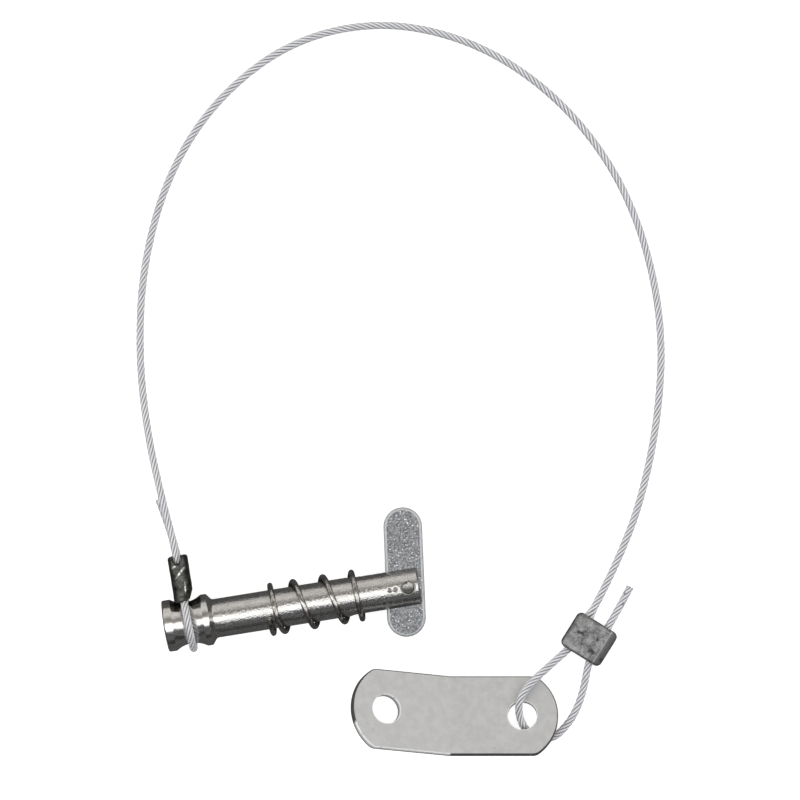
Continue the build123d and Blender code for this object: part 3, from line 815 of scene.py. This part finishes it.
def build_rope_wire(nodes, shader, place):
    """Fine bright wires: nearly white metal, painted in shade between the strands and on the core, with two
    dark specks on the tail.
    """
    tone = nodes.group(clouds, Vector=place, Scale=700.0, Dark=(0.86, 0.87, 0.9, 1),
                       Light=(0.97, 0.97, 0.98, 1))
    painted_light = nodes.add("ShaderNodeAttribute", attribute_name="painted_light").outputs["Fac"]
    for speck in TAIL_SPECKS:
        clear = nodes.step(nodes.distance(place, speck), 0.2 * MM, 0.4 * MM)
        painted_light = nodes.math("MULTIPLY", painted_light, clear)
    # painted shade: blue-grey where painted_light is 0, deep between the strands and on the core; the tail's
    # two specks are cut into painted_light too, so they take the same dark colour
    nodes.join(nodes.mix(painted_light, (0.26, 0.26, 0.3, 1), tone["Colour"]), shader["Base Color"])
    flecks = nodes.group(grain, Vector=place, Scale=4000.0, Depth=0.002 * MM)
    nodes.join(nodes.math("MULTIPLY_ADD", flecks["Flecks"], 0.1, 0.3), shader["Roughness"])
    nodes.join(flecks["Normal"], shader["Normal"])
    shader["Metallic"].default_value = 0.35


def build_clear_coat(nodes, shader, place):
    """Clear plastic skin: faintly milky, with slow uneven tone and a faint grain."""
    tone = nodes.group(clouds, Vector=place, Scale=500.0, Dark=(0.86, 0.87, 0.9, 1),
                       Light=(0.95, 0.95, 0.96, 1))
    nodes.join(tone["Colour"], shader["Base Color"])
    nodes.join(nodes.group(grain, Vector=place, Scale=1300.0, Depth=0.02 * MM)["Normal"], shader["Normal"])
    shader["Roughness"].default_value = 0.12
    shader["Alpha"].default_value = 0.07


def build_dark_sleeve(nodes, shader, place):
    """Blackened crimp metal: dark and semi-gloss, worn pale in slanting scuffs near its outer end."""
    middle = (sleeve_low + sleeve_high) / 2
    tone = nodes.group(clouds, Vector=place, Scale=900.0, Dark=(0.035, 0.035, 0.03, 1),
                       Light=(0.13, 0.13, 0.12, 1))
    worn = 0.0
    scuffs = ((0.2, 1.3, 44, 1.9, 0.26), (-0.9, 2.6, 20, 0.7, 0.28), (0.75, -1.9, 86, 1.5, 0.2))
    for x, y, degrees, reach, thick in scuffs:
        spot = (middle.x + x * MM, middle.y + y * MM, sleeve_high.z)
        local = nodes.stretch(place, (1 / (reach * MM), 1 / (thick * MM), 0.0),
                              (0, 0, -math.radians(degrees)), spot)
        gap = nodes.add("ShaderNodeVectorMath", ((0, local),), operation="LENGTH").outputs["Value"]
        worn = nodes.math("MAXIMUM", worn, nodes.step(gap, 0.25, 1.1, 1.0, 0.0))
    broken = nodes.step(nodes.noise(place, 2600.0, 3.0), 0.32, 0.6)
    worn = nodes.math("MULTIPLY", worn, broken)
    nodes.join(nodes.mix(worn, tone["Colour"], grey(0.75, 0.01)), shader["Base Color"])
    nodes.join(nodes.math("MULTIPLY_ADD", tone["Cloud"], 0.12, 0.3), shader["Roughness"])
    nodes.join(nodes.group(grain, Vector=place, Scale=2400.0, Depth=0.02 * MM)["Normal"], shader["Normal"])
    shader["Metallic"].default_value = 1.0


def build_grey_sleeve(nodes, shader, place):
    """Bare crimp metal: dull mottled grey with dark stains and light rubbed patches, a painted lighter band
    on the pressed outer slope and a painted highlight line along the crease where it meets the top.
    """
    tone = nodes.group(clouds, Vector=place, Scale=620.0, Dark=grey(0.1, 0.0), Light=grey(0.27, 0.01))
    stains = nodes.step(nodes.noise(place, 430.0, 2.0), 0.6, 0.74)
    speckle = nodes.step(nodes.noise(place, 3000.0, 2.0), 0.4, 0.7, 0.0, 0.45)
    colour = nodes.mix(speckle, tone["Colour"], grey(0.4))
    middle = ((crimp_low + crimp_high) / 2)[:]
    local = nodes.stretch(place, (1, -1, 1), (0, 0, -CRIMP_ANGLE), middle)
    outward = nodes.split(local)["Y"]
    # painted light: a lighter band over the pressed slope, and a painted highlight line at the crease
    painted_slope_light = nodes.step(outward, CRIMP_WIDTH * 0.32, CRIMP_WIDTH * 0.35, 0.0, 0.35)
    gap_to_painted_ridge = nodes.math("ABSOLUTE", nodes.math("SUBTRACT", outward, CRIMP_WIDTH * 0.325))
    colour = nodes.mix(painted_slope_light, colour, grey(0.42))
    colour = nodes.mix(nodes.step(gap_to_painted_ridge, 0.02 * MM, 0.2 * MM, 0.5, 0.0), colour, grey(0.6))
    nodes.join(nodes.mix(stains, colour, grey(0.05, 0.02)), shader["Base Color"])
    nodes.join(nodes.math("MULTIPLY_ADD", tone["Cloud"], -0.1, 0.52), shader["Roughness"])
    nodes.join(nodes.group(grain, Vector=place, Scale=1900.0, Depth=0.04 * MM)["Normal"], shader["Normal"])
    shader["Metallic"].default_value = 0.9


def build_matte_stainless(nodes, shader, place):
    """Mill-finish sheet: even pale grey with faint mottling, a few specks and thin handling marks."""
    tone = nodes.group(clouds, Vector=place, Scale=620.0, Dark=grey(0.59, 0.004), Light=grey(0.66, 0.0))
    specks = nodes.step(nodes.noise(place, 900.0, 1.0), 0.74, 0.8, 0.0, 0.4)
    marks = nodes.group(scratches, Vector=nodes.stretch(place, (1, 1, 1), (0, 0, 0.4)), Scale=170.0)["Mask"]
    colour = nodes.mix(specks, tone["Colour"], grey(0.3))
    nodes.join(nodes.mix(nodes.math("MULTIPLY", marks, 0.35), colour, grey(0.4)), shader["Base Color"])
    nodes.join(nodes.math("MULTIPLY_ADD", tone["Cloud"], 0.05, 0.5), shader["Roughness"])
    nodes.join(nodes.group(grain, Vector=place, Scale=1500.0, Depth=0.012 * MM)["Normal"], shader["Normal"])
    shader["Metallic"].default_value = 0.85


def build_cut_edge_shade_and_highlight(nodes, shader, place):
    """The sheet's cut edges: painted shade, near black, with a painted highlight high in the holes and
    along the raised arm's low side, and a few grey burrs.
    """
    burrs = nodes.step(nodes.noise(place, 1100.0, 2.0), 0.6, 0.72, 0.0, 0.5)
    painted_light = nodes.add("ShaderNodeAttribute", attribute_name="painted_light").outputs["Fac"]
    # painted shade near black where painted_light is 0, painted highlight near white where it is 1
    colour = nodes.mix(painted_light, grey(0.07, 0.03), grey(0.92))
    nodes.join(nodes.mix(burrs, colour, grey(0.2)), shader["Base Color"])
    nodes.join(nodes.math("MULTIPLY_ADD", burrs, 0.2, 0.35), shader["Roughness"])
    shader["Metallic"].default_value = 0.25


polished_stainless = finish("polished_stainless", build_polished)
tumbled_stainless = finish("tumbled_stainless", build_tumbled)
rim_painted_highlight = finish("rim_painted_highlight", build_rim_painted_highlight)
pivot_steel = finish("pivot_steel", build_pivot_steel)
spring_wire = finish("spring_wire", build_spring_wire)
rope_wire = finish("rope_wire", build_rope_wire)
clear_coat = finish("clear_coat", build_clear_coat)
dark_sleeve = finish("dark_sleeve", build_dark_sleeve)
grey_sleeve = finish("grey_sleeve", build_grey_sleeve)
matte_stainless = finish("matte_stainless", build_matte_stainless)
cut_edge_shade_and_highlight = finish("cut_edge_shade_and_highlight", build_cut_edge_shade_and_highlight)


# ---------------------------------------------------------------- camera, table and light
CAMERA_HEIGHT = 1.2          # metres over the pin's axis
VIEW_WIDTH = 162.93 * MM     # seen at the height of the pin's axis
VIEW_CENTRE = (16.52 * MM, 48.83 * MM)
VIEW_UP = (0.15902, 0.98728)


def camera_above():
    """A long lens straight above, turned so that the pin climbs a little to the right."""
    data = bpy.data.cameras.new("camera")
    camera = bpy.data.objects.new("camera", data)
    bpy.context.scene.collection.objects.link(camera)
    data.sensor_width = 36
    data.lens = data.sensor_width * CAMERA_HEIGHT / VIEW_WIDTH
    centre = Vector((*VIEW_CENTRE, AXIS_Z))
    up = Vector((*VIEW_UP, 0)).normalized()
    back = Vector((0, 0, 1))
    turn = Matrix((up.cross(back), up, back)).transposed().to_4x4()
    camera.matrix_world = Matrix.Translation(centre + back * CAMERA_HEIGHT) @ turn
    bpy.context.scene.camera = camera


# angle from straight up towards +Y in degrees, brightness, warmth
STUDIO = (
    (-180, 0.10, 0.0), (-130, 0.10, 0.0), (-107, 0.12, 0.0), (-95, 0.04, 0.0), (-72, 0.05, 0.0),
    (-62, 0.16, -0.02), (-36, 0.12, -0.03), (-27, 0.2, -0.03), (-22, 1.9, -0.01), (10, 1.95, 0.0),
    (16, 0.4, 0.03), (32, 0.3, 0.04), (42, 0.62, 0.03), (50, 0.85, 0.02), (80, 0.82, 0.02), (88, 0.5, 0.02),
    (94, 0.12, 0.02), (130, 0.09, 0.0), (180, 0.10, 0.0),
)


def studio_light():
    """Soft light by direction: long strips parallel to the pin, by the angle of (y, z) about the X axis."""
    world = bpy.data.worlds.new("studio")
    bpy.context.scene.world = world
    world.use_nodes = True
    nodes = Nodes(world.node_tree)
    direction = nodes.add("ShaderNodeTexCoord").outputs["Generated"]
    split = nodes.split(direction)
    angle = nodes.math("ARCTAN2", split["Y"], split["Z"])
    share = nodes.math("MULTIPLY_ADD", angle, 1 / TURN, 0.5)
    ramp = nodes.add("ShaderNodeValToRGB", (("Fac", share),))
    brightest = max(level for _, level, _ in STUDIO)
    stops = ramp.color_ramp.elements
    while len(stops) < len(STUDIO):
        stops.new(0.5)
    for stop, (degrees, level, warmth) in zip(stops, STUDIO):
        stop.position = degrees / 360 + 0.5
        stop.color = grey(level / brightest, warmth)
    background = world.node_tree.nodes["Background"].inputs
    nodes.join(ramp.outputs["Color"], background["Color"])
    background["Strength"].default_value = brightest


def table():
    """A large pale table: white to the eye, with only a faint shadow close to the metal, and dark grey in
    reflections."""
    material = bpy.data.materials.new("table")
    material.use_nodes = True
    nodes = Nodes(material.node_tree)
    shader = material.node_tree.nodes["Principled BSDF"]
    shader.inputs["Base Color"].default_value = grey(0.8)
    shader.inputs["Roughness"].default_value = 0.9
    shader.inputs["Emission Color"].default_value = grey(1.0)
    shader.inputs["Emission Strength"].default_value = 0.72
    dim = nodes.add("ShaderNodeBsdfDiffuse", (("Color", grey(0.12)),)).outputs[0]
    glossy = nodes.add("ShaderNodeLightPath").outputs["Is Glossy Ray"]
    both = nodes.add("ShaderNodeMixShader", ((0, glossy), (1, shader.outputs[0]), (2, dim))).outputs[0]
    nodes.join(both, material.node_tree.nodes["Material Output"].inputs["Surface"])
    mesh = bpy.data.meshes.new("table")
    corners = [(1.5 * x, 1.5 * y, 0) for x, y in ((-1, -1), (1, -1), (1, 1), (-1, 1))]
    mesh.from_pydata(corners, [], [(0, 1, 2, 3)])
    mesh.materials.append(material)
    top = bpy.data.objects.new("table", mesh)
    bpy.context.scene.collection.objects.link(top)


bpy.context.scene.view_settings.view_transform = "Standard"
camera_above()
table()
studio_light()

# ---------------------------------------------------------------- the pieces
for node, steel in (("pin_body", polished_stainless), ("toggle_pivot_pin", pivot_steel)):
    for holder in frame["nodes"][node].material_slots:
        holder.material = steel
rope("lanyard_run", LANYARD_ROUTE, "lanyard_run", (0, 0, 1), flare_at=3.4 * MM)
rope("pin_eye", PIN_EYE_ROUTE, "pin_eye", (1, 0, 0))
rope("tab_eye", TAB_EYE_ROUTE, "tab_eye", (0, 0, 1))
spring()
toggle()
tab()
pin_sleeve()
tab_sleeve()
